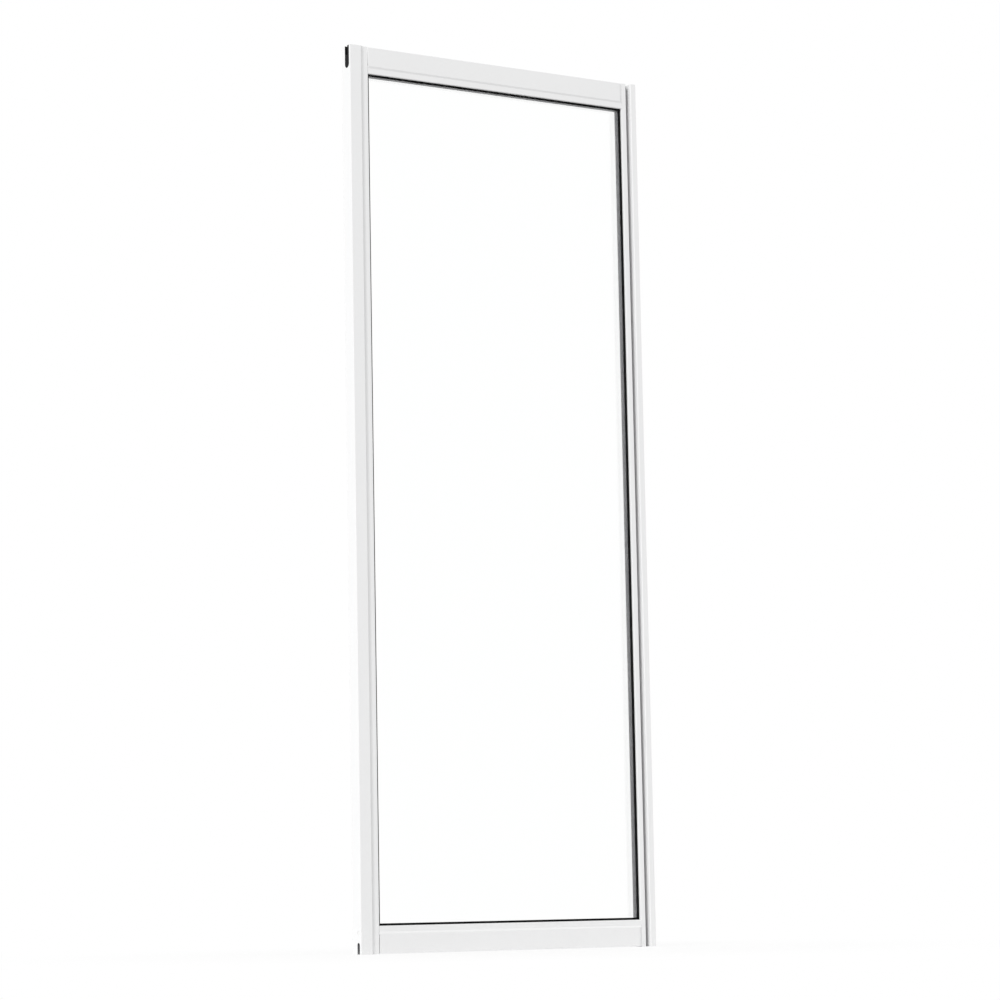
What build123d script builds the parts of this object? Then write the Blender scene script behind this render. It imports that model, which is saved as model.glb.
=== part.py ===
from build123d import *
import os

# A glazed sliding door leaf: four butt-jointed extrusions round a sealed double glass unit.
# X runs along the width, the front looks towards -Y and Z is up. The origin is on the outer
# face of the lock stile, at its lower end and at the middle of the leaf's depth.

os.makedirs("parts", exist_ok=True)

# Leaf, over its stiles
leaf_width = 750.0
leaf_height = 1970.0
leaf_depth = 38.0

# Extruded walls, and how far the faces of rails and lips lie behind those of the stiles
wall = 1.8
rail_recess = 2.0
lip_recess = 4.0
rail_back_recess = 1.0
edge_radius = 0.8

# Lock stile, seen from the front: flat, rounded shoulder, then the glazing lip
lock_face = 46.4
lock_flat = 27.0
shoulder_run = 10.0

# Interlock stile, seen from the front: flange, slot for the neighbouring leaf, glazing lip
interlock_face = 37.0
flange_width = 14.2
flange_round = 1.5
slot_width = 10.2
slot_round = 1.0
slot_depth = 20.0

# Rails, from their outer edge inwards
rail_inset = 1.0
rail_face = 58.5
rail_flat = 42.0
step_run = 4.0
channel_depth = 34.0
joint_gap = 0.2
flat_relief = 4.6
relief_depth = 1.5
relief_slit = 0.5

# Glazing lips: a small bevel along the edge and a nose that turns back to the gasket
lip_bevel_run = 1.0
lip_bevel_drop = 0.8
nose_depth = 5.8

# Sealed unit and its gaskets
pane_thickness = 4.0
air_gap = 12.0
glass_cover = 6.5
edge_gap = 2.7
seal_height = 4.0
spacer_height = 6.0
gasket_thickness = 3.0
gasket_sight = 4.8
top_gasket_sight = 2.4
gasket_bed = 5.0
gasket_round = 0.3
back_gasket_thickness = 1.5
back_gasket_edge = 0.5

# Snap-in beads behind the glass
bead_sight = 1.0
bead_recess = 1.5
bead_return = 7.0
bead_wall = 1.5

# Setting blocks under the glass
block_length = 80.0
block_from_corner = 110.0
block_clearance = 0.5

# Screws that hold the rails to the stiles, in two rows across the depth
port_outer = 8.0
port_bore = 4.2
port_bite = 0.5
front_row_offset = 7.0
back_row_offset = 8.5
screw_access = 9.0
screw_clearance = 4.8
screw_shank = 3.6
screw_head = 7.6
screw_head_height = 2.4
screw_grip = 30.0

# Plugs that close the access holes of the screws
plug_fit = 0.2
plug_recess = 0.4
plug_flange = 10.4
plug_flange_thickness = 1.2

# Guide block and adjusting notch in the edge of the lock stile
guide_width = 18.2
guide_height = 50.0
guide_from_front = 5.3
guide_fit = 0.2
guide_body = 12.0
pad_margin = 2.5
pad_thickness = 3.0
rebate_from_front = 12.4
rebate_rim = 1.0
rebate_height = 20.5
rebate_depth = 9.0
notch_width = 11.4
notch_height = 25.0
notch_from_front = 6.7

# Roller carriages in the channel of the bottom rail
roller_from_lip = 80.0
carriage_length = 64.0
carriage_width = 18.0
carriage_height = 22.0
carriage_plate = 1.5
wheel_diameter = 22.0
wheel_width = 8.0
groove_depth = 2.0
groove_mouth = 5.0
groove_floor = 1.6
wheel_bore = 5.6
wheel_drop = 15.0
axle_diameter = 5.0
axle_hole = 5.6
axle_head = 8.0
axle_head_height = 1.5

# Pile strip on the floor of the interlock slot
pile_base_width = 6.8
pile_base_height = 1.0
pile_width = 4.8
pile_height = 5.0

# Planes across the depth
front = -leaf_depth / 2
back = leaf_depth / 2
rail_front = front + rail_recess
rail_back = back - rail_back_recess
lip_front = front + lip_recess
nose_end = lip_front + nose_depth
glass_front = nose_end + gasket_thickness
air_front = glass_front + pane_thickness
air_back = air_front + air_gap
glass_back = air_back + pane_thickness
bead_front = glass_back + back_gasket_thickness
bead_face = back - bead_recess
slot_floor = front + slot_depth

# Places along X and Z where the lips end
left_edge = 0.0
right_edge = left_edge + leaf_width
lip_left = left_edge + lock_face
lip_right = right_edge - interlock_face
lip_bottom = rail_inset + rail_face
lip_top = leaf_height - rail_inset - rail_face
pocket_depth = glass_cover + edge_gap
lock_pocket = lock_face - pocket_depth
interlock_pocket = interlock_face - pocket_depth
rail_pocket = rail_face - pocket_depth
port_from_edge = rail_pocket - wall - port_outer / 2 + port_bite
slot_edge = flange_width + slot_width
rail_left = left_edge + lock_pocket
rail_right = right_edge - interlock_pocket

# Section planes: local x runs inwards from the outer edge and local y towards the back
lock_plane = Plane(origin=(left_edge, 0, 0), x_dir=(1, 0, 0), z_dir=(0, 0, 1))
interlock_plane = Plane(origin=(right_edge, 0, 0), x_dir=(-1, 0, 0), z_dir=(0, 0, -1))
bottom_plane = Plane(origin=(rail_right, 0, rail_inset), x_dir=(0, 0, 1), z_dir=(-1, 0, 0))
top_plane = Plane(origin=(rail_left, 0, leaf_height - rail_inset), x_dir=(0, 0, -1), z_dir=(1, 0, 0))

# Plane of the lock stile's outer face: local x runs towards the back and local y along Z
notch_plane = Plane(origin=(left_edge, 0, 0), x_dir=(0, 1, 0), z_dir=(1, 0, 0))


def rectangle_between(x0, y0, x1, y1, mode=Mode.ADD):
    """Add or cut a rectangle given by two corners."""
    with Locations(((x0 + x1) / 2, (y0 + y1) / 2)):
        Rectangle(abs(x1 - x0), abs(y1 - y0), mode=mode)


def glazing_leg(start, lip_edge):
    """Add the leg of a glazing lip: face, bevel and the nose that turns back to the gasket."""
    Polygon(
        (start, lip_front),
        (lip_edge - lip_bevel_run, lip_front),
        (lip_edge, lip_front + lip_bevel_drop),
        (lip_edge, nose_end),
        (lip_edge - wall, nose_end),
        (lip_edge - wall, lip_front + wall),
        (start, lip_front + wall),
        align=None,
    )


def save(piece, name):
    """Label a finished piece and write it."""
    piece.part.label = name
    export_step(piece.part, f"parts/{name}.step")


# Depths and heights of the corner screws: the front row holds the lock stile, where the guide
# block covers the upper one, and the back row holds the interlock stile
front_row = -front_row_offset
back_row = back_row_offset
low_level = rail_inset + port_from_edge
high_level = leaf_height - rail_inset - port_from_edge


def drill_screw_holes(edge_x, inwards, y, pocket):
    """Drill the access holes in a stile's outer wall and the clearance holes in its inner wall."""
    inner_x = edge_x + inwards * (pocket - wall)
    for z in (low_level, high_level):
        for x, diameter in ((edge_x, screw_access), (inner_x, screw_clearance)):
            with Locations(Plane(origin=(x, y, z), z_dir=(inwards, 0, 0))):
                Cylinder(
                    diameter / 2,
                    wall,
                    align=(Align.CENTER, Align.CENTER, Align.MIN),
                    mode=Mode.SUBTRACT,
                )


# Lock stile: a tube with a rounded shoulder down to the glazing lip, and end-milled notches in
# its outer wall, for the guide block above and to reach the roller below
shoulder_end = lock_flat + shoulder_run
shoulder_radius = (shoulder_run**2 + lip_recess**2) / (2 * lip_recess)
guide_y = front + guide_from_front + guide_width / 2
guide_seat_z = leaf_height - guide_height + guide_width / 2
notch_y = front + notch_from_front + notch_width / 2
notch_seat_z = notch_height - notch_width / 2


def notch_outline(y, seat_z, end_z, width, ease):
    """Add the outline of a notch: straight to the stile's end, round at the other."""
    with Locations((y, seat_z)):
        Circle(width / 2 - ease)
    with Locations((y, (seat_z + end_z) / 2)):
        Rectangle(width - 2 * ease, abs(end_z - seat_z))


with BuildPart() as lock_stile:
    with BuildSketch(lock_plane):
        with BuildLine():
            Line((lock_flat, front), (0, front))
            Line((0, front), (0, back))
            Line((0, back), (lock_pocket, back))
            Line((lock_pocket, back), (lock_pocket, lip_front))
            Line((lock_pocket, lip_front), (shoulder_end, lip_front))
            RadiusArc((shoulder_end, lip_front), (lock_flat, front), -shoulder_radius)
        tube = make_face()
        offset(tube, amount=-wall, kind=Kind.INTERSECTION, mode=Mode.SUBTRACT)
        glazing_leg(lock_pocket - wall, lock_face)
    extrude(amount=leaf_height)
    fillet(lock_stile.edges().filter_by(Axis.Z).group_by(Axis.X)[0], edge_radius)
    with BuildSketch(notch_plane):
        notch_outline(guide_y, guide_seat_z, leaf_height, guide_width, 0)
        notch_outline(notch_y, notch_seat_z, 0, notch_width, 0)
    extrude(amount=wall, mode=Mode.SUBTRACT)
    drill_screw_holes(left_edge, 1, front_row, lock_pocket)
save(lock_stile, "lock_stile")

# Interlock stile: a flange and a deep slot open to the front, beside the glazing lip
flange_corner = (right_edge - flange_width, front, leaf_height / 2)
slot_corner = (right_edge - slot_edge, lip_front, leaf_height / 2)
with BuildPart() as interlock_stile:
    with BuildSketch(interlock_plane):
        Polygon(
            (0, front),
            (flange_width, front),
            (flange_width, slot_floor),
            (slot_edge, slot_floor),
            (slot_edge, lip_front),
            (interlock_pocket, lip_front),
            (interlock_pocket, back),
            (0, back),
            align=None,
        )
        rectangle_between(wall, front + wall, flange_width - wall, slot_floor, Mode.SUBTRACT)
        rectangle_between(wall, slot_floor + wall, interlock_pocket - wall, back - wall, Mode.SUBTRACT)
        glazing_leg(slot_edge, interlock_face)
    extrude(amount=-leaf_height)
    outer_edges = interlock_stile.edges().filter_by(Axis.Z)
    fillet(outer_edges.group_by(Axis.X)[-1], edge_radius)
    fillet(interlock_stile.edges().filter_by(Axis.Z).sort_by_distance(flange_corner)[0], flange_round)
    fillet(interlock_stile.edges().filter_by(Axis.Z).sort_by_distance(slot_corner)[0], slot_round)
    drill_screw_holes(right_edge, -1, back_row, interlock_pocket)
save(interlock_stile, "interlock_stile")


def rail_section():
    """Add the section of a rail: open channel, closed chamber, screw ports and glazing lip."""
    chamber_start = channel_depth + wall
    chamber_end = rail_pocket - wall
    Polygon(
        (0, rail_front),
        (rail_flat, rail_front),
        (rail_flat + step_run, lip_front),
        (rail_pocket, lip_front),
        (rail_pocket, rail_back),
        (0, rail_back),
        align=None,
    )
    rectangle_between(0, rail_front + wall, channel_depth, rail_back - wall, Mode.SUBTRACT)
    Polygon(
        (chamber_start, rail_front + wall),
        (rail_flat - wall, rail_front + wall),
        (rail_flat - wall, lip_front + wall),
        (chamber_end, lip_front + wall),
        (chamber_end, rail_back - wall),
        (chamber_start, rail_back - wall),
        align=None,
        mode=Mode.SUBTRACT,
    )
    glazing_leg(rail_pocket - wall, rail_face)
    with Locations((port_from_edge, front_row), (port_from_edge, back_row)):
        Circle(port_outer / 2)
        Circle(port_bore / 2, mode=Mode.SUBTRACT)


def cut_between(x0, y0, z0, x1, y1, z1):
    """Cut a box given by two corners."""
    with Locations(((x0 + x1) / 2, (y0 + y1) / 2, (z0 + z1) / 2)):
        Box(abs(x1 - x0), abs(y1 - y0), abs(z1 - z0), mode=Mode.SUBTRACT)


def cope_rail_ends(outer_z, flat_z, lip_z):
    """Cut the front of a rail back at both ends, where the lips of the stiles run past it.

    At the right end its flat is relieved too, with a fine slit at the foot of the step.
    """
    cope_back = nose_end + joint_gap
    cut_between(rail_left, front, outer_z, lip_left + joint_gap, cope_back, lip_z)
    cut_between(rail_right, front, outer_z, lip_right - joint_gap, cope_back, lip_z)
    relief_left = lip_right - flat_relief
    cut_between(rail_right, front, outer_z, relief_left, rail_front + relief_depth, flat_z)
    cut_between(relief_left, front, outer_z, relief_left + relief_slit, rail_front + wall, flat_z)


with BuildPart() as bottom_rail:
    with BuildSketch(bottom_plane):
        rail_section()
    extrude(amount=rail_right - rail_left)
    cope_rail_ends(0, rail_inset + rail_flat, lip_bottom)
save(bottom_rail, "bottom_rail")

with BuildPart() as top_rail:
    with BuildSketch(top_plane):
        rail_section()
    extrude(amount=rail_right - rail_left)
    cope_rail_ends(leaf_height, leaf_height - rail_inset - rail_flat, lip_top)
save(top_rail, "top_rail")

# Sealed unit: two panes held apart by a spacer, with a seal round the edge
glass_left = lip_left - glass_cover
glass_right = lip_right + glass_cover
glass_bottom = lip_bottom - glass_cover
glass_top = lip_top + glass_cover


def window(margin, mode=Mode.ADD):
    """Add or cut the outline of the sealed unit, drawn in by a margin, on the XZ plane."""
    rectangle_between(
        glass_left + margin,
        glass_bottom + margin,
        glass_right - margin,
        glass_top - margin,
        mode,
    )


def depth_plane(y):
    """A plane at a depth, with local x along X and local y along Z, that faces the back."""
    return Plane(origin=(0, y, 0), x_dir=(1, 0, 0), z_dir=(0, -1, 0))


for name, y in (("outer_pane", glass_front), ("inner_pane", air_back)):
    with BuildPart() as pane:
        with BuildSketch(depth_plane(y)):
            window(0)
        extrude(amount=-pane_thickness)
    save(pane, name)

with BuildPart() as edge_seal:
    with BuildSketch(depth_plane(air_front)):
        window(0)
        window(seal_height, Mode.SUBTRACT)
    extrude(amount=-air_gap)
save(edge_seal, "edge_seal")

with BuildPart() as spacer_frame:
    with BuildSketch(depth_plane(air_front)):
        window(seal_height)
        window(seal_height + spacer_height, Mode.SUBTRACT)
    extrude(amount=-air_gap)
save(spacer_frame, "spacer_frame")


def mitred_strip(side, bed, sights):
    """Add one side of a mitred frame that hides its bed behind the lips and shows its sights."""
    x0, x1 = lip_left - bed, lip_right + bed
    z0, z1 = lip_bottom - bed, lip_top + bed
    u0, u1 = lip_left + sights["left"], lip_right - sights["right"]
    w0, w1 = lip_bottom + sights["bottom"], lip_top - sights["top"]
    outlines = {
        "left": ((x0, z0), (x0, z1), (u0, w1), (u0, w0)),
        "right": ((x1, z0), (x1, z1), (u1, w1), (u1, w0)),
        "bottom": ((x0, z0), (x1, z0), (u1, w0), (u0, w0)),
        "top": ((x0, z1), (x1, z1), (u1, w1), (u0, w1)),
    }
    Polygon(*outlines[side], align=None)


# Gaskets on both faces of the glass, mitred at the corners
sides = ("left", "right", "bottom", "top")
front_sights = dict.fromkeys(sides, gasket_sight)
front_sights["top"] = top_gasket_sight
back_sights = dict.fromkeys(sides, bead_sight + back_gasket_edge)
for side in sides:
    with BuildPart() as front_gasket:
        with BuildSketch(depth_plane(nose_end)):
            mitred_strip(side, gasket_bed, front_sights)
        extrude(amount=-gasket_thickness)
        across = Axis.X if side in ("left", "right") else Axis.Z
        along = Axis.Z if side in ("left", "right") else Axis.X
        sight_edges = front_gasket.edges().filter_by(along).group_by(across)
        sight_edge = sight_edges[-1] if side in ("left", "bottom") else sight_edges[0]
        fillet(sight_edge.group_by(Axis.Y)[0], gasket_round)
    save(front_gasket, f"front_gasket_{side}")
    with BuildPart() as back_gasket:
        with BuildSketch(depth_plane(glass_back)):
            mitred_strip(side, gasket_bed, back_sights)
        extrude(amount=-back_gasket_thickness)
    save(back_gasket, f"back_gasket_{side}")


side_bead_length = lip_top - lip_bottom - 2 * bead_sight


def bead_section(start, lip_edge):
    """Add the section of a bead: its visible leg and the return that clips along the pocket."""
    rectangle_between(start, bead_front, lip_edge + bead_sight, bead_face)
    rectangle_between(start, bead_front - bead_return, start + bead_wall, bead_front)


with BuildPart() as bead_bottom:
    with BuildSketch(bottom_plane):
        bead_section(rail_pocket, rail_face)
    extrude(amount=rail_right - rail_left)
save(bead_bottom, "bead_bottom")

with BuildPart() as bead_top:
    with BuildSketch(top_plane):
        bead_section(rail_pocket, rail_face)
    extrude(amount=rail_right - rail_left)
save(bead_top, "bead_top")

with BuildPart() as bead_left:
    with BuildSketch(lock_plane.offset(lip_bottom + bead_sight)):
        bead_section(lock_pocket, lock_face)
    extrude(amount=side_bead_length)
save(bead_left, "bead_left")

with BuildPart() as bead_right:
    with BuildSketch(interlock_plane.offset(bead_sight - lip_top)):
        bead_section(interlock_pocket, interlock_face)
    extrude(amount=side_bead_length)
save(bead_right, "bead_right")

# Setting blocks carry the glass on the floor of the bottom rail's pocket, in front of the bead
block_depth = bead_front - bead_return - block_clearance - glass_front
for side, centre_x in (("left", lip_left + block_from_corner), ("right", lip_right - block_from_corner)):
    with BuildPart() as setting_block:
        with BuildSketch(Plane.XY.offset(glass_bottom - edge_gap)):
            with Locations((centre_x, glass_front + block_depth / 2)):
                Rectangle(block_length, block_depth)
        extrude(amount=edge_gap)
    save(setting_block, f"setting_block_{side}")

# Screws that draw the rails' ends against the stiles
with BuildPart() as corner_screws:
    for x, y, inwards in (
        (left_edge + lock_pocket - wall, front_row, 1),
        (right_edge - interlock_pocket + wall, back_row, -1),
    ):
        for z in (low_level, high_level):
            with Locations(Plane(origin=(x, y, z), z_dir=(inwards, 0, 0))):
                Cylinder(screw_shank / 2, screw_grip, align=(Align.CENTER, Align.CENTER, Align.MIN))
                Cylinder(screw_head / 2, screw_head_height, align=(Align.CENTER, Align.CENTER, Align.MAX))
save(corner_screws, "corner_screws")

# Plugs in the access holes that show, each with a flange behind the wall
with BuildPart() as hole_plugs:
    for x, y, z, inwards in (
        (left_edge, front_row, low_level, 1),
        (right_edge, back_row, low_level, -1),
        (right_edge, back_row, high_level, -1),
    ):
        with Locations(Plane(origin=(x + inwards * plug_recess, y, z), z_dir=(inwards, 0, 0))):
            Cylinder(
                screw_access / 2 - plug_fit,
                wall - plug_recess,
                align=(Align.CENTER, Align.CENTER, Align.MIN),
            )
        with Locations(Plane(origin=(x + inwards * wall, y, z), z_dir=(inwards, 0, 0))):
            Cylinder(
                plug_flange / 2,
                plug_flange_thickness,
                align=(Align.CENTER, Align.CENTER, Align.MIN),
            )
save(hole_plugs, "hole_plugs")

# Guide block in the upper notch, with a wider pad behind the wall and a pocket open at its end
with BuildPart() as guide_block:
    with BuildSketch(notch_plane):
        notch_outline(guide_y, guide_seat_z, leaf_height, guide_width, guide_fit)
    extrude(amount=guide_body)
    with BuildSketch(notch_plane.offset(wall)):
        notch_outline(guide_y, guide_seat_z, leaf_height, guide_width, -pad_margin)
    extrude(amount=pad_thickness)
    cut_between(
        left_edge,
        front + rebate_from_front,
        leaf_height - rebate_height,
        left_edge + rebate_depth,
        guide_y + guide_width / 2 - rebate_rim,
        leaf_height,
    )
save(guide_block, "guide_block")

# Roller carriages: a folded plate housing, a grooved wheel and a pin with two heads
carriage_top = rail_inset + channel_depth
wheel_z = carriage_top - wheel_drop
for side, centre_x in (("left", lip_left + roller_from_lip), ("right", lip_right - roller_from_lip)):
    across = Plane(origin=(centre_x, 0, wheel_z), x_dir=(1, 0, 0), z_dir=(0, -1, 0))
    with BuildPart() as carriage:
        with Locations((centre_x, 0, carriage_top)):
            Box(
                carriage_length,
                carriage_width,
                carriage_height,
                align=(Align.CENTER, Align.CENTER, Align.MAX),
            )
        with Locations((centre_x, 0, carriage_top - carriage_plate)):
            Box(
                carriage_length,
                carriage_width - 2 * carriage_plate,
                carriage_height,
                align=(Align.CENTER, Align.CENTER, Align.MAX),
                mode=Mode.SUBTRACT,
            )
        with Locations(across):
            Cylinder(axle_hole / 2, carriage_width, mode=Mode.SUBTRACT)
    save(carriage, f"roller_carriage_{side}")
    with BuildPart() as wheel:
        with BuildSketch(Plane(origin=(centre_x, 0, wheel_z), x_dir=(0, 1, 0), z_dir=(1, 0, 0))):
            Polygon(
                (-wheel_width / 2, wheel_bore / 2),
                (-wheel_width / 2, wheel_diameter / 2),
                (-groove_mouth / 2, wheel_diameter / 2),
                (-groove_floor / 2, wheel_diameter / 2 - groove_depth),
                (groove_floor / 2, wheel_diameter / 2 - groove_depth),
                (groove_mouth / 2, wheel_diameter / 2),
                (wheel_width / 2, wheel_diameter / 2),
                (wheel_width / 2, wheel_bore / 2),
                align=None,
            )
        revolve(axis=Axis((centre_x, 0, wheel_z), (0, 1, 0)))
    save(wheel, f"roller_wheel_{side}")
    with BuildPart() as axle:
        with Locations(across):
            Cylinder(axle_diameter / 2, carriage_width)
        with Locations(across.offset(carriage_width / 2), across.offset(-carriage_width / 2 - axle_head_height)):
            Cylinder(
                axle_head / 2,
                axle_head_height,
                align=(Align.CENTER, Align.CENTER, Align.MIN),
            )
    save(axle, f"roller_axle_{side}")

# Pile strip standing on the floor of the interlock slot
slot_middle = flange_width + slot_width / 2
with BuildPart() as interlock_pile:
    with BuildSketch(interlock_plane):
        rectangle_between(
            slot_middle - pile_base_width / 2,
            slot_floor - pile_base_height,
            slot_middle + pile_base_width / 2,
            slot_floor,
        )
        rectangle_between(
            slot_middle - pile_width / 2,
            slot_floor - pile_base_height - pile_height,
            slot_middle + pile_width / 2,
            slot_floor - pile_base_height,
        )
    extrude(amount=-leaf_height)
save(interlock_pile, "interlock_pile")
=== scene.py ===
import math

import bpy
import numpy as np
from mathutils import Matrix, Vector


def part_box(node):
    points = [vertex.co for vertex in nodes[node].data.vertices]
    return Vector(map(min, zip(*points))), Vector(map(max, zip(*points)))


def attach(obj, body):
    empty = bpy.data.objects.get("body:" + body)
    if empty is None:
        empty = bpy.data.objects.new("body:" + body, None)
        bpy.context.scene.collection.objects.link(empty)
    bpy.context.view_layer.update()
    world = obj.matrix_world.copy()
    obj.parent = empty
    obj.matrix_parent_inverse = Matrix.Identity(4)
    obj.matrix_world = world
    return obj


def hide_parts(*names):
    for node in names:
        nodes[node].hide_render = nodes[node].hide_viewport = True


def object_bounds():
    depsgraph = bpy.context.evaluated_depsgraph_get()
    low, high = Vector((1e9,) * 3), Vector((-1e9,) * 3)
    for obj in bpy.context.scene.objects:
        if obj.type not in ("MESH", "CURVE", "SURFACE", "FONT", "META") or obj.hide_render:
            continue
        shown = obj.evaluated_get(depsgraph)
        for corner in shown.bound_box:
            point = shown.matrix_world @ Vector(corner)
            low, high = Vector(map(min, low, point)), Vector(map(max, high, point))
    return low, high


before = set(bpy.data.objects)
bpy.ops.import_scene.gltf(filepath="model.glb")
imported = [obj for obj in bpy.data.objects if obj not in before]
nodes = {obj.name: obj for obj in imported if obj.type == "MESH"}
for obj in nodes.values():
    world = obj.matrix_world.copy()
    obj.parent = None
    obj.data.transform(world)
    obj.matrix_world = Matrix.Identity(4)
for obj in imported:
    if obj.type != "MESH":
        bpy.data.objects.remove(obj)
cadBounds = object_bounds()
print("frame: %d nodes loaded" % len(nodes))


# Node trees. Arithmetic on a Wire adds Math nodes to the tree that it belongs to.
class Wire:
    def __init__(self, board, socket):
        self.board = board
        self.socket = socket

    def __add__(self, other):
        return self.board.math("ADD", self, other)

    def __sub__(self, other):
        return self.board.math("SUBTRACT", self, other)

    def __rsub__(self, other):
        return self.board.math("SUBTRACT", other, self)

    def __mul__(self, other):
        return self.board.math("MULTIPLY", self, other)

    def __gt__(self, other):
        return self.board.math("GREATER_THAN", self, other)

    def __lt__(self, other):
        return self.board.math("LESS_THAN", self, other)

    def __abs__(self):
        return self.board.math("ABSOLUTE", self)

    __radd__ = __add__
    __rmul__ = __mul__


class Board:
    def __init__(self, owner):
        owner.use_nodes = True
        self.tree = owner.node_tree
        self.tree.nodes.clear()

    def node(self, kind, settings=None, inputs=None, output=0):
        made = self.tree.nodes.new(kind)
        for name, value in (settings or {}).items():
            setattr(made, name, value)
        for name, value in (inputs or {}).items():
            if isinstance(value, Wire):
                self.tree.links.new(value.socket, made.inputs[name])
            else:
                made.inputs[name].default_value = value
        return Wire(self, made.outputs[output]) if len(made.outputs) else None

    def math(self, operation, *values):
        return self.node("ShaderNodeMath", {"operation": operation}, dict(enumerate(values)))

    def mixColour(self, share, first, second):
        # the colour sockets of a Mix node: inputs 6 and 7, output 2
        inputs = {0: share, 6: first, 7: second}
        return self.node("ShaderNodeMix", {"data_type": "RGBA"}, inputs, 2)

    def place(self):
        return self.node("ShaderNodeTexCoord", output="Object")

    def axes(self, vector):
        parts = self.node("ShaderNodeSeparateXYZ", inputs={0: vector})
        return [Wire(self, socket) for socket in parts.socket.node.outputs]

    def stretched(self, vector, factors):
        settings = {"operation": "MULTIPLY"}
        return self.node("ShaderNodeVectorMath", settings, {0: vector, 1: factors})

    def noise(self, vector, scale, detail=2.0):
        inputs = {"Vector": vector, "Scale": scale, "Detail": detail}
        return self.node("ShaderNodeTexNoise", inputs=inputs)

    def between(self, value, low, high):
        return (value > low) * (value < high)

    def bump(self, height, distance):
        inputs = {"Height": height, "Distance": distance, "Strength": 1.0}
        return self.node("ShaderNodeBump", inputs=inputs)

    def finish(self, surface):
        self.node("ShaderNodeOutputMaterial", inputs={"Surface": surface})


def grey(level):
    return (level, level, level, 1.0)


# Camera: fitted to the leaf's own edges, for a square picture
cameraSettings = {
    "position": (-3.2000, -5.8308, 0.1134),
    "turn": -31.510,  # degrees about the vertical, towards the right of straight ahead
    "tilt": 7.275,  # degrees above the horizon
    "roll": -1.066,
    "lens": 112.185,  # millimetres, as is the sensor
    "sensor": 36.0,
}


def makeCamera(s):
    data = bpy.data.cameras.new("camera")
    data.lens = s["lens"]
    data.sensor_width = s["sensor"]
    data.sensor_fit = "HORIZONTAL"
    camera = bpy.data.objects.new("camera", data)
    bpy.context.scene.collection.objects.link(camera)
    turn = Matrix.Rotation(math.radians(s["turn"]), 4, "Z")
    tilt = Matrix.Rotation(math.radians(90 + s["tilt"]), 4, "X")
    roll = Matrix.Rotation(math.radians(s["roll"]), 4, "Z")
    camera.matrix_world = Matrix.Translation(s["position"]) @ turn @ tilt @ roll
    bpy.context.scene.camera = camera


makeCamera(cameraSettings)
bpy.context.scene.view_settings.view_transform = "Standard"
print("camera set")


# Studio: a soft key lamp from the upper left, a white surround and a pale floor
studioSettings = {
    "surroundFill": 0.665,  # how bright the surround is to what it lights
    "keyTurn": 62.0,  # degrees from straight in front, towards the left
    "keyRise": 35.0,  # degrees above the horizon
    "keySoftness": 14.0,  # degrees across the lamp
    "keyStrength": 1.71,
    "keyDistance": 4.0,
    "floorRadius": 14.0,
    "floorCorners": 96,
    "floorDrop": 0.0002,  # below the leaf
    "floorColour": 0.86,
    "floorNearLift": 0.86,  # share of plain white in the floor close to the leaf
    "floorLiftFrom": 0.1,  # distance from the leaf's middle at which that share starts to rise
    "floorLiftTo": 1.3,  # distance at which the floor is plain white
}


def seenDirectly(board):
    # 1 for what the camera sees, straight or by way of glass and gloss
    total = None
    for name in ("Is Camera Ray", "Is Glossy Ray", "Is Transmission Ray"):
        ray = board.node("ShaderNodeLightPath", output=name)
        total = ray if total is None else total + ray
    return board.math("MINIMUM", total, 1.0)


def makeSurround(s):
    world = bpy.data.worlds.new("surround")
    bpy.context.scene.world = world
    board = Board(world)
    strength = seenDirectly(board) * (1 - s["surroundFill"]) + s["surroundFill"]
    light = board.node("ShaderNodeBackground", inputs={"Color": grey(1.0), "Strength": strength})
    board.node("ShaderNodeOutputWorld", inputs={"Surface": light})


def makeKeyLamp(s, centre):
    data = bpy.data.lights.new("keyLamp", "SUN")
    data.angle = math.radians(s["keySoftness"])
    data.energy = s["keyStrength"]
    lamp = bpy.data.objects.new("keyLamp", data)
    bpy.context.scene.collection.objects.link(lamp)
    turn = math.radians(s["keyTurn"])
    rise = math.radians(s["keyRise"])
    towards = Vector((
        -math.sin(turn) * math.cos(rise),
        -math.cos(turn) * math.cos(rise),
        math.sin(rise),
    ))
    lamp.location = centre + towards * s["keyDistance"]
    lamp.rotation_euler = towards.to_track_quat("Z", "Y").to_euler()


def makeFloor(s, centre):
    # a disc: radius times the cosine and sine of the angle, as one face
    corners = s["floorCorners"]
    angle = np.linspace(0, 2 * math.pi, corners, endpoint=False)
    rim = np.stack([np.cos(angle), np.sin(angle), np.zeros(corners)], 1) * s["floorRadius"]
    rim += (centre.x, centre.y, -s["floorDrop"])
    mesh = bpy.data.meshes.new("floor")
    mesh.from_pydata(rim.tolist(), [], [list(range(corners))])
    floor = bpy.data.objects.new("floor", mesh)
    bpy.context.scene.collection.objects.link(floor)
    material = bpy.data.materials.new("paleFloor")
    board = Board(material)
    place = board.axes(board.place())
    x = place[0] - centre.x
    y = place[1] - centre.y
    fade = board.node("ShaderNodeMapRange", {"interpolation_type": "SMOOTHSTEP"}, {
        "Value": board.math("SQRT", x * x + y * y),
        "From Min": s["floorLiftFrom"],
        "From Max": s["floorLiftTo"],
        "To Min": s["floorNearLift"],
        "To Max": 1.0,
    })
    cloth = board.node("ShaderNodeBsdfDiffuse", inputs={"Color": grey(s["floorColour"])})
    white = board.node("ShaderNodeEmission", inputs={"Color": grey(1.0), "Strength": 1.0})
    share = seenDirectly(board) * fade
    board.finish(board.node("ShaderNodeMixShader", inputs={0: share, 1: cloth, 2: white}))
    mesh.materials.append(material)


leafCentre = (cadBounds[0] + cadBounds[1]) / 2
makeSurround(studioSettings)
makeKeyLamp(studioSettings, leafCentre)
makeFloor(studioSettings, leafCentre)
print("studio set")


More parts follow.
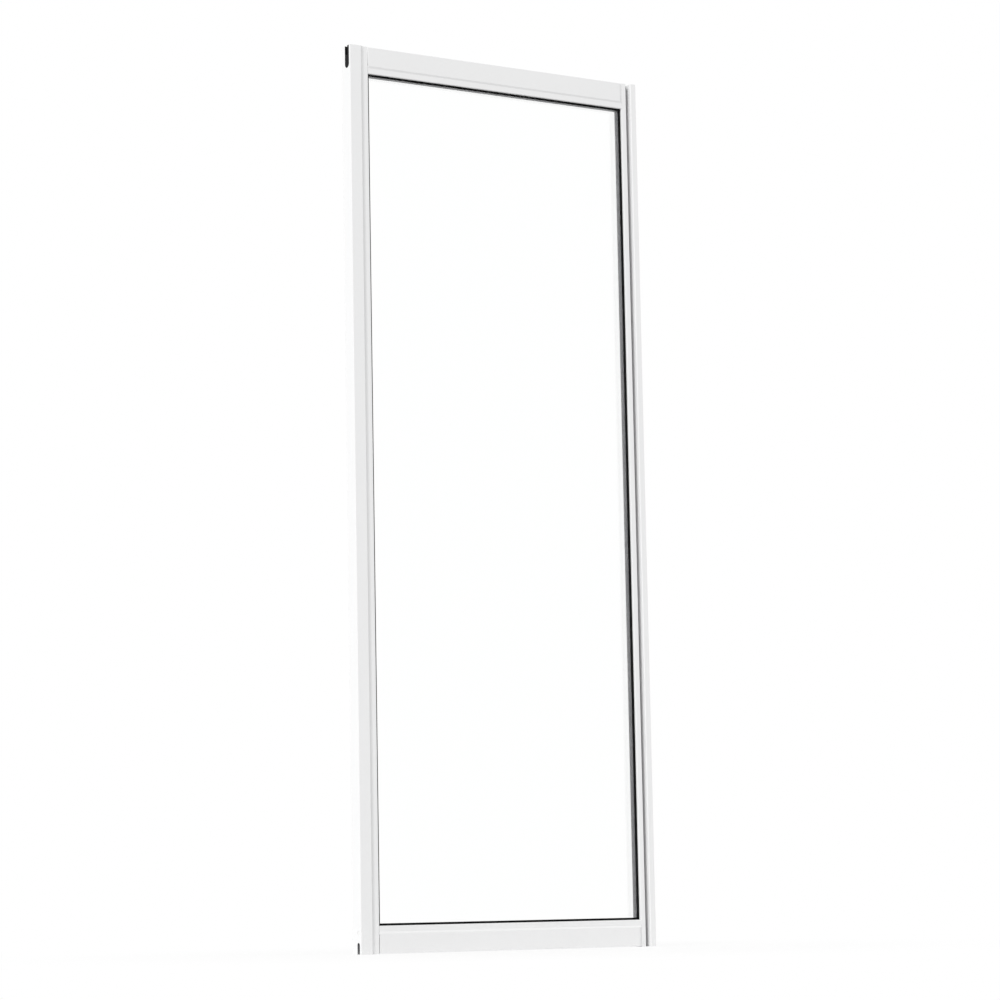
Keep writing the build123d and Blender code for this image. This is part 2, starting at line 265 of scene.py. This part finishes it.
# Finishes
def dress(material, *names):
    for name in names:
        slots = nodes[name].data.materials
        slots.clear()
        slots.append(material)


# White powder coat, with the saw-cut ends left bare, and the inside of the lock stile given the
# same dull bare-metal grey as painted shade in its hollow
coatSettings = {
    "pale": (0.875, 0.875, 0.875, 1.0),
    "dull": (0.845, 0.847, 0.85, 1.0),
    "cloudScale": 5.0,  # of the drift between the two, per metre
    "cloudDetail": 3.0,
    "roughness": 0.36,
    "roughnessSpread": 0.10,
    "peelScale": 620.0,  # bumps of the coat, per metre
    "peelHeight": 0.000012,
    "dieLines": (700.0, 700.0, 0.6),  # thin in x and y, and long in z, the length of the stiles
    "dieLineHeight": 0.000006,
    # a dull grey for bare metal, used on the saw-cut ends and as painted shade inside the lock
    # stile's hollow
    "bareMetal": (0.42, 0.42, 0.43, 1.0),
    "bareMetalness": 0.45,
    "bareRoughness": 0.55,
    "sawMarks": (1500.0, 40.0, 40.0),
    "cutDepth": 0.00005,  # from either end in z, over which a face counts as cut
    "stileWall": 0.0018,
    "coatedShare": 0.8,  # of a wall's thickness, from its outer side
    # the painted shade inside the lock stile starts at this depth
    "bareFront": -0.0150,  # y at which the bare inside starts
}


def shadedInsideOfLockStile(s):
    # lowest and highest x and y of the hollow, darkened with the bare-metal grey as painted shade
    coated = s["stileWall"] * s["coatedShare"]
    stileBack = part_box("lock_stile")[1].y
    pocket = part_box("bead_left")[0].x
    return (coated, s["bareFront"]), (pocket - coated, stileBack - coated)


def makeCoat(name, s, inside=None):
    material = bpy.data.materials.new(name)
    board = Board(material)
    place = board.place()
    x, y, z = board.axes(place)
    cloud = board.noise(place, s["cloudScale"], s["cloudDetail"])
    peel = board.noise(place, s["peelScale"])
    dieLines = board.noise(board.stretched(place, s["dieLines"]), 1.0)
    bareEndsOrShadedHollow = (z > cadBounds[1].z - s["cutDepth"]) + (z < s["cutDepth"])
    if inside:
        low, high = inside
        # the lock stile's hollow takes the bare-metal grey as painted shade
        hollowShade = board.between(x, low[0], high[0]) * board.between(y, low[1], high[1])
        bareEndsOrShadedHollow = board.math("MINIMUM", bareEndsOrShadedHollow + hollowShade, 1.0)
    sawMarks = board.noise(board.stretched(place, s["sawMarks"]), 1.0)
    paint = board.mixColour(cloud, s["dull"], s["pale"])
    spread = (peel - 0.5) * s["roughnessSpread"] + (cloud - 0.5) * s["roughnessSpread"]
    painted = s["roughness"] + spread
    height = peel * s["peelHeight"] + (dieLines + sawMarks * bareEndsOrShadedHollow) * s["dieLineHeight"]
    board.finish(board.node("ShaderNodeBsdfPrincipled", inputs={
        "Base Color": board.mixColour(bareEndsOrShadedHollow, paint, s["bareMetal"]),
        "Metallic": bareEndsOrShadedHollow * s["bareMetalness"],
        "Roughness": painted + (s["bareRoughness"] - painted) * bareEndsOrShadedHollow,
        "Normal": board.bump(height, 1.0),
    }))
    return material


coat = makeCoat("whiteCoat", coatSettings)
lockCoat = makeCoat("whiteCoatLockStileShadedHollow", coatSettings, shadedInsideOfLockStile(coatSettings))
dress(coat, "interlock_stile", "top_rail", "bottom_rail")
dress(coat, "bead_left", "bead_right", "bead_top", "bead_bottom")
dress(lockCoat, "lock_stile")


# Materials whose colour, roughness and relief all wander with noise
mottledSettings = {
    "blackGasket": {
        "nodes": [
            "front_gasket_left", "front_gasket_right", "front_gasket_bottom", "front_gasket_top",
            "back_gasket_left", "back_gasket_right", "back_gasket_bottom", "back_gasket_top",
        ],
        "colours": ((0.004, 0.004, 0.004, 1.0), (0.009, 0.009, 0.0095, 1.0)),
        "roughness": (0.6, 0.78),
        "scale": 900.0,
        "relief": 0.00002,
        "gloss": 0.05,
        "metallic": 0.0,
    },
    "darkSealant": {
        "nodes": ["edge_seal"],
        "colours": ((0.035, 0.035, 0.038, 1.0), (0.06, 0.06, 0.064, 1.0)),
        "roughness": (0.45, 0.65),
        "scale": 240.0,
        "relief": 0.00008,
        "gloss": 0.2,
        "metallic": 0.0,
    },
    "blackNylon": {
        "nodes": ["guide_block"],
        "colours": ((0.010, 0.010, 0.0105, 1.0), (0.018, 0.018, 0.0185, 1.0)),
        "roughness": (0.5, 0.66),
        "scale": 1400.0,
        "relief": 0.00002,
        "gloss": 0.05,
        "metallic": 0.0,
    },
    "whitePlastic": {
        "nodes": ["hole_plugs"],
        "colours": ((0.82, 0.82, 0.81, 1.0), (0.86, 0.86, 0.855, 1.0)),
        "roughness": (0.35, 0.5),
        "scale": 1100.0,
        "relief": 0.00001,
        "gloss": 0.5,
        "metallic": 0.0,
    },
    "blockRubber": {
        "nodes": ["setting_block_left", "setting_block_right"],
        "colours": ((0.045, 0.045, 0.045, 1.0), (0.075, 0.075, 0.075, 1.0)),
        "roughness": (0.6, 0.8),
        "scale": 700.0,
        "relief": 0.00004,
        "gloss": 0.2,
        "metallic": 0.0,
    },
    "zincPlate": {
        "nodes": [
            "roller_carriage_left", "roller_carriage_right",
            "roller_axle_left", "roller_axle_right",
        ],
        "colours": ((0.55, 0.56, 0.58, 1.0), (0.68, 0.69, 0.71, 1.0)),
        "roughness": (0.24, 0.42),
        "scale": 300.0,
        "relief": 0.00001,
        "gloss": 0.5,
        "metallic": 1.0,
    },
    "wheelNylon": {
        "nodes": ["roller_wheel_left", "roller_wheel_right"],
        "colours": ((0.70, 0.69, 0.64, 1.0), (0.78, 0.77, 0.73, 1.0)),
        "roughness": (0.4, 0.55),
        "scale": 800.0,
        "relief": 0.00002,
        "gloss": 0.5,
        "metallic": 0.0,
    },
}
mottle = {
    "fineDetail": 3.0,
    "patchSize": 12,  # of the broad patches, in grains of the fine noise
    "patchShare": 0.6,  # of the patches in the colour; the fine noise has the rest
}


def makeMottled(name, s, m):
    material = bpy.data.materials.new(name)
    board = Board(material)
    place = board.place()
    fine = board.noise(place, s["scale"], m["fineDetail"])
    broad = board.noise(place, s["scale"] / m["patchSize"])
    share = broad * m["patchShare"] + fine * (1 - m["patchShare"])
    low, high = s["roughness"]
    board.finish(board.node("ShaderNodeBsdfPrincipled", inputs={
        "Base Color": board.mixColour(share, *s["colours"]),
        "Metallic": s["metallic"],
        "Roughness": broad * (high - low) + low,
        "Specular IOR Level": s["gloss"],
        "Normal": board.bump(fine, s["relief"]),
    }))
    return material


mottled = {name: makeMottled(name, s, mottle) for name, s in mottledSettings.items()}
for name, material in mottled.items():
    dress(material, *mottledSettings[name]["nodes"])


# Spacer bar between the panes: matt rolled aluminium whose grey is darkened as painted shade
# between the panes, with a row of small slits
spacerSettings = {
    # a darker grey than the metal's own, as painted shade between the panes
    "colours": ((0.22, 0.22, 0.23, 1.0), (0.27, 0.27, 0.28, 1.0)),
    "rolling": (60.0, 900.0, 60.0),  # fine across the bar, long along it
    "rollingHeight": 0.00002,
    "roughness": 0.5,
    "roughnessSpread": 0.12,
    "cornerLength": 0.02,  # from either end of the uprights, where the slits follow x
    "slitPitch": 0.0045,
    "slitLength": 0.45,  # share of the pitch
    "slitWidth": 0.0009,
    "slitDepth": 0.0003,
    # the slits are painted near-black as painted shade in the openings
    "slitShadeGrey": 0.03,
}


def makeSpacer(s):
    material = bpy.data.materials.new("spacerMetal")
    board = Board(material)
    place = board.place()
    x, y, z = board.axes(place)
    low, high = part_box("spacer_frame")
    upright = board.between(z, low.z + s["cornerLength"], high.z - s["cornerLength"])
    along = x + (z - x) * upright
    stepAlong = board.math("FRACT", along * (1 / s["slitPitch"]))
    fromMiddle = abs(y - (low.y + high.y) / 2)
    slit = (stepAlong < s["slitLength"]) * (fromMiddle < s["slitWidth"] / 2)
    rolled = board.noise(board.stretched(place, s["rolling"]), 1.0)
    shadedMetal = board.mixColour(rolled, *s["colours"])
    board.finish(board.node("ShaderNodeBsdfPrincipled", inputs={
        # the slits take a near-black as painted shade
        "Base Color": board.mixColour(slit, shadedMetal, grey(s["slitShadeGrey"])),
        "Metallic": 1.0,
        "Roughness": rolled * s["roughnessSpread"] + s["roughness"],
        "Normal": board.bump(rolled * s["rollingHeight"] - slit * s["slitDepth"], 1.0),
    }))
    return material


dress(makeSpacer(spacerSettings), "spacer_frame")


# Clear float glass with a faint waviness. Lamps shine through it.
glassSettings = {
    "colour": (0.998, 1.0, 0.999, 1.0),
    "refraction": 1.52,
    "waveScale": 4.0,
    "waveHeight": 0.00001,
    "lampShare": 0.70,  # of a lamp's light, let through by each face
}


def makeGlass(s):
    material = bpy.data.materials.new("clearGlass")
    board = Board(material)
    wave = board.noise(board.place(), s["waveScale"])
    glass = board.node("ShaderNodeBsdfPrincipled", inputs={
        "Base Color": s["colour"],
        "Roughness": 0.0,
        "IOR": s["refraction"],
        "Transmission Weight": 1.0,
        "Normal": board.bump(wave, s["waveHeight"]),
    })
    seeThrough = board.node("ShaderNodeBsdfTransparent", inputs={"Color": grey(s["lampShare"])})
    shadow = board.node("ShaderNodeLightPath", output="Is Shadow Ray")
    board.finish(board.node("ShaderNodeMixShader", inputs={0: shadow, 1: glass, 2: seeThrough}))
    return material


dress(makeGlass(glassSettings), "outer_pane", "inner_pane")
print("finishes made")


def tubeMesh(name, tubes):
    # each tube is rings of points, one after another along the piece, joined into quads and closed
    # by an end face at either end
    corners, starts = [], []
    firstPoint = firstCorner = 0
    for rings in tubes:
        rows, columns = rings.shape[:2]
        index = np.arange(rows * columns).reshape(rows, columns) + firstPoint
        beside = np.roll(index, -1, axis=1)
        quads = np.stack([index[:-1], beside[:-1], beside[1:], index[1:]], -1).reshape(-1, 4)
        corners += [quads.ravel(), index[0, ::-1], index[-1]]
        ends = np.array([quads.size, quads.size + columns])
        starts += [firstCorner + np.arange(len(quads)) * 4, firstCorner + ends]
        firstPoint += index.size
        firstCorner += quads.size + 2 * columns
    points = np.concatenate([rings.reshape(-1, 3) for rings in tubes])
    corners, starts = np.concatenate(corners), np.concatenate(starts)
    mesh = bpy.data.meshes.new(name)
    mesh.vertices.add(len(points))
    mesh.vertices.foreach_set("co", points.astype(np.float32).ravel())
    mesh.loops.add(len(corners))
    mesh.loops.foreach_set("vertex_index", corners.astype(np.int32))
    mesh.polygons.add(len(starts))
    mesh.polygons.foreach_set("loop_start", starts.astype(np.int32))
    mesh.update(calc_edges=True)
    mesh.validate()
    return mesh


def placePiece(name, tubes, material, node):
    piece = bpy.data.objects.new(name, tubeMesh(name, tubes))
    bpy.context.scene.collection.objects.link(piece)
    piece.data.materials.append(material)
    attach(piece, "root")
    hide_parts(node)


# Pile strip: a flat backing with a brush whose top and sides are uneven
pileSettings = {
    "rowSpacing": 0.0011,
    "columns": 26,
    "backing": 0.001,
    "brushShare": 0.7,  # of the backing's width
    "topRoughness": 0.0007,
    "sideRoughness": 0.00025,
    "seed": 11,
    "colours": ((0.34, 0.34, 0.345, 1.0), (0.60, 0.60, 0.61, 1.0)),
    "fibres": (2600.0, 260.0, 2600.0),  # thin across, long towards the front
    "fibreRelief": 0.0003,
    "roughness": 0.85,
    "roughnessSpread": 0.1,
}


def makePileFinish(s):
    material = bpy.data.materials.new("greyPile")
    board = Board(material)
    fibre = board.noise(board.stretched(board.place(), s["fibres"]), 1.0)
    board.finish(board.node("ShaderNodeBsdfPrincipled", inputs={
        "Base Color": board.mixColour(fibre, *s["colours"]),
        "Roughness": fibre * s["roughnessSpread"] + s["roughness"],
        "Normal": board.bump(fibre, s["fibreRelief"]),
    }))
    return material


def pileRings(s):
    low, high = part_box("interlock_pile")
    middle = (low.x + high.x) / 2
    halfBacking = (high.x - low.x) / 2
    halfBrush = halfBacking * s["brushShare"]
    brushRoot = high.y - s["backing"]
    columns = s["columns"]
    rows = int((high.z - low.z) / s["rowSpacing"])
    # across the strip: the brush as a half oval from its left side over the top to its right side,
    # whose width goes with the cosine of the turn and whose height with the root of its sine, and
    # then the backing's four corners
    turn = np.linspace(math.pi, 0, columns)
    oval = np.stack([np.cos(turn) * halfBrush, -np.sqrt(np.sin(turn)) * (brushRoot - low.y)], 1)
    oval[:, 1] = np.maximum(oval[:, 1] + brushRoot, low.y)
    backing = np.array([
        (halfBacking, brushRoot),
        (halfBacking, high.y),
        (-halfBacking, high.y),
        (-halfBacking, brushRoot),
    ])
    profile = np.concatenate([oval, backing])
    rings = np.zeros((rows, len(profile), 3))
    rings[:, :, 0] = middle + profile[:, 0]
    rings[:, :, 1] = profile[:, 1]
    rings[:, :, 2] = np.linspace(low.z, high.z, rows)[:, None]
    # the brush's points then wander at random, in depth most of all at its top
    chance = np.random.default_rng(s["seed"])
    free = np.sin(turn)
    rings[:, :columns, 1] += chance.random((rows, columns)) * s["topRoughness"] * free
    rings[:, :columns, 0] += (chance.random((rows, columns)) - 0.5) * s["sideRoughness"] * 2
    return rings


pileFinish = makePileFinish(pileSettings)
placePiece("pileStrip", [pileRings(pileSettings)], pileFinish, "interlock_pile")
print("pile strip made")


# Corner screws: pan heads with a cross recess, and a thread that runs down to a blunt tip
screwSettings = {
    "columns": 32,
    "headHeight": 0.0024,
    "headRadius": 0.0038,
    "crown": 0.0008,
    "crownSteps": 22,
    "crownStart": 0.02,  # share of the way out at which the rings start
    "crownSpread": 0.8,  # power of that share, which sets them closer together towards the rim
    "edgeRound": 0.0005,
    "edgeSteps": 5,
    "crossHalfWidth": 0.0006,
    "crossReach": 0.0022,
    "crossDepth": 0.0014,
    "crossSlope": 0.0002,
    "coreRadius": 0.00135,
    "threadRadius": 0.00175,
    "pitch": 0.0014,
    "stepsPerPitch": 7,
    "crestHalfWidth": 0.3,  # share of the pitch
    "length": 0.0300,
    "tipLength": 0.0035,
    "tipShare": 0.25,  # of the full radius, at the blunt tip
}


def screwRings(s, head, inwards):
    angle = np.linspace(0, 2 * math.pi, s["columns"], endpoint=False)[None, :]
    allRound = np.zeros_like(angle)  # added to one value a ring, it gives that value to each column
    # head: a crown that falls with the square of the radius, less the cross, whose depth is that of
    # two crossed slots with sloping sides; then a round rim and the flat underside
    share = np.linspace(s["crownStart"], 1, s["crownSteps"])[:, None] ** s["crownSpread"]
    radius = share * (s["headRadius"] - s["edgeRound"])
    nearSlot = np.minimum(np.abs(radius * np.cos(angle)), np.abs(radius * np.sin(angle)))
    width = np.clip((s["crossHalfWidth"] - nearSlot) / s["crossSlope"], 0, 1)
    reach = np.clip((s["crossReach"] - radius) / s["crossSlope"], 0, 1)
    crown = s["crown"] * (radius / s["headRadius"]) ** 2
    turn = np.linspace(0, math.pi / 2, s["edgeSteps"])[1:, None]
    seat = np.array([s["headRadius"], s["coreRadius"]])[:, None]
    # thread: the core plus a ridge whose height falls off on both sides of a helix, and the whole
    # thinned to the tip
    along = np.arange(0, s["length"], s["pitch"] / s["stepsPerPitch"])[1:, None]
    phase = (along / s["pitch"] - angle / (2 * math.pi)) % 1.0
    ridge = np.clip(1 - np.abs(phase - 0.5) / s["crestHalfWidth"], 0, 1)
    ridge = ridge * np.clip(along / s["pitch"], 0, 1)
    taper = np.clip((s["length"] - along) / s["tipLength"], s["tipShare"], 1)
    radii = np.concatenate([
        radius + allRound,
        s["headRadius"] - s["edgeRound"] * (1 - np.sin(turn)) + allRound,
        seat + allRound,
        (s["coreRadius"] + (s["threadRadius"] - s["coreRadius"]) * ridge) * taper,
    ])
    depths = np.concatenate([
        crown + s["crossDepth"] * width * reach,
        crown[-1] + s["edgeRound"] * (1 - np.cos(turn)) + allRound,
        np.full_like(seat, s["headHeight"]) + allRound,
        s["headHeight"] + along + allRound,
    ])
    x = head[0] + inwards * depths
    y = head[1] + radii * np.cos(angle)
    z = head[2] + radii * np.sin(angle) * inwards
    return np.stack([x, y, z], -1)


def allScrewRings(s):
    low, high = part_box("corner_screws")
    inset = s["headRadius"]
    sides = ((low.x, low.y + inset, 1), (high.x, high.y - inset, -1))  # left and right stile
    levels = (low.z + inset, high.z - inset)
    return [screwRings(s, (x, y, z), inwards) for x, y, inwards in sides for z in levels]


screws = allScrewRings(screwSettings)
placePiece("cornerScrews", screws, mottled["zincPlate"], "corner_screws")
print("corner screws made")
